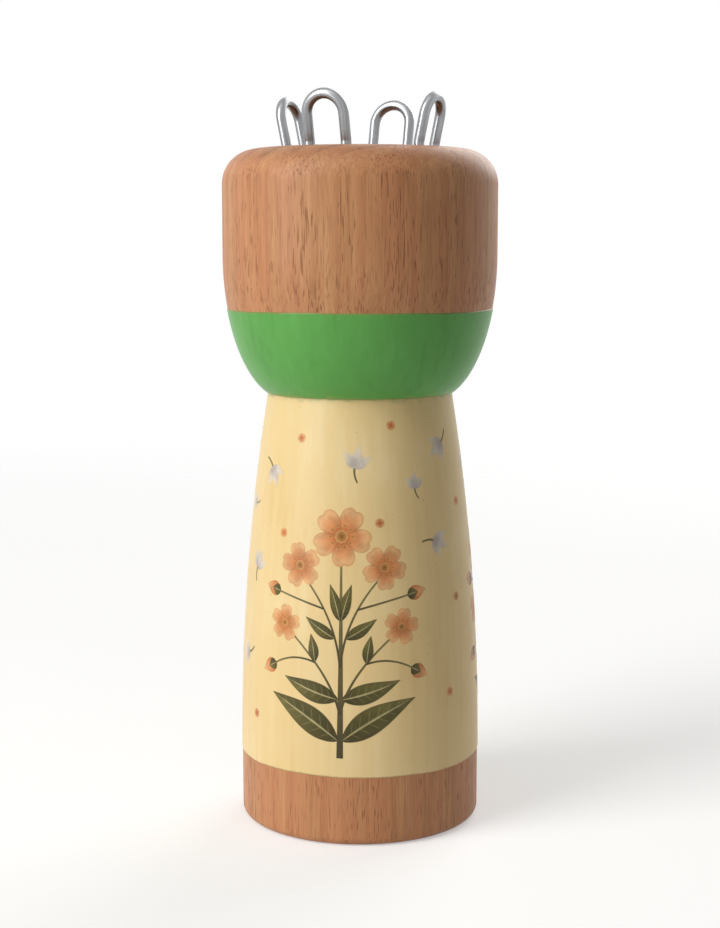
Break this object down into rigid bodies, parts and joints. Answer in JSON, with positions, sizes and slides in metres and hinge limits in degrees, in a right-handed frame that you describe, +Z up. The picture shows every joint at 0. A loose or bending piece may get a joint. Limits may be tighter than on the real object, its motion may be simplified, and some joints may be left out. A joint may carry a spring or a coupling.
{
  "type": "knitting nancy",
  "caption": "Turned wooden knitting doll with a painted collar, a printed skirt and wire hooks round a through bore, for knitting a tubular cord.",
  "frame": {"origin": "centre of the foot's flat underside, on the turning axis", "axes": "+Z up along the turning axis, from the foot to the hooks; -Y is the front, faced by the first hook; +X is to the right seen from the front"},
  "size_m": [0.048, 0.048, 0.1275],
  "materials": {
    "bare_wood": "turned and sanded hardwood under a thin clear matt coat, with fine straight grain",
    "collar_paint": "satin leaf-green paint on wood",
    "skirt_print": null,
    "hook_wire": "bright drawn steel wire, bent cold"
  },
  "bodies": {
    "root": {"skirt": "skirt_print", "head": "bare_wood", "hook_1": "hook_wire", "hook_2": "hook_wire", "hook_3": "hook_wire", "hook_4": "hook_wire"}
  },
  "joints": []
}
